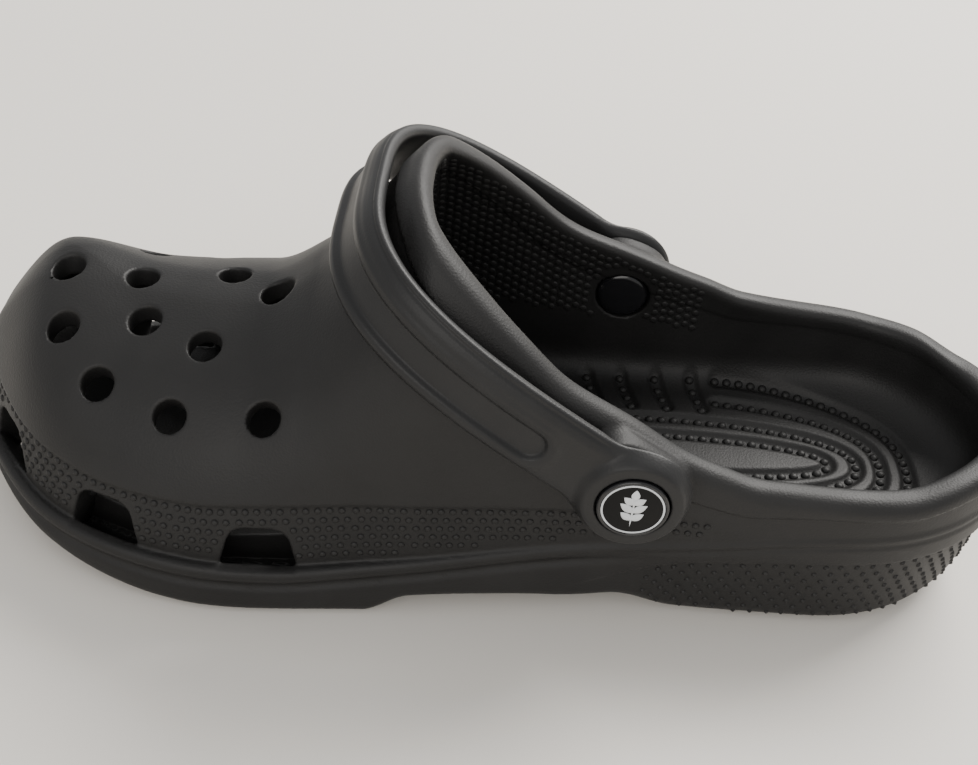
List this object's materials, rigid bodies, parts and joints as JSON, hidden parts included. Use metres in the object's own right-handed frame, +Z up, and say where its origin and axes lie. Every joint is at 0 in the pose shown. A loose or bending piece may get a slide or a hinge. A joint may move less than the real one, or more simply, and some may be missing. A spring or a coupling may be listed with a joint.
{
  "type": "garden clog",
  "caption": "Slip-on moulded foam garden clog for the left foot, with round vents, toe drain ports and a heel strap that swings on snap rivets.",
  "frame": {"origin": "on the ground under the middle of the clog's length and width", "axes": "+X from toe to heel, +Y towards the inner side of the foot, +Z up"},
  "size_m": [0.2928, 0.1112, 0.1067],
  "materials": {
    "shell_foam": "satin fine-grain moulded foam",
    "strap_foam": "satin fine-grain moulded foam",
    "rivet_black": "glossy black plastic",
    "badge_print": "black disc with a pale printed ring and leaf"
  },
  "bodies": {
    "shell": {"clog_shell": "shell_foam"},
    "strap": {"heel_strap": "strap_foam"},
    "rivet_lateral": {"rivet_cap_lateral": "rivet_black", "rivet_back_lateral": "rivet_black", "badge_disc_lateral": "badge_print"},
    "rivet_medial": {"rivet_cap_medial": "rivet_black", "rivet_back_medial": "rivet_black", "badge_disc_medial": "badge_print"}
  },
  "joints": [
    {"name": "strap_swing", "type": "hinge", "parent": "shell", "child": "strap", "pos_m": [0.0375, 0, 0.0515], "axis": [0, 1, 0], "range_deg": [0, 130]},
    {"name": "rivet_lateral_spin", "type": "hinge", "parent": "shell", "child": "rivet_lateral", "pos_m": [0.0375, -0.05, 0.0515], "axis": [0, 1, 0], "continuous": true},
    {"name": "rivet_medial_spin", "type": "hinge", "parent": "shell", "child": "rivet_medial", "pos_m": [0.0375, 0.05, 0.0515], "axis": [0, 1, 0], "continuous": true}
  ]
}
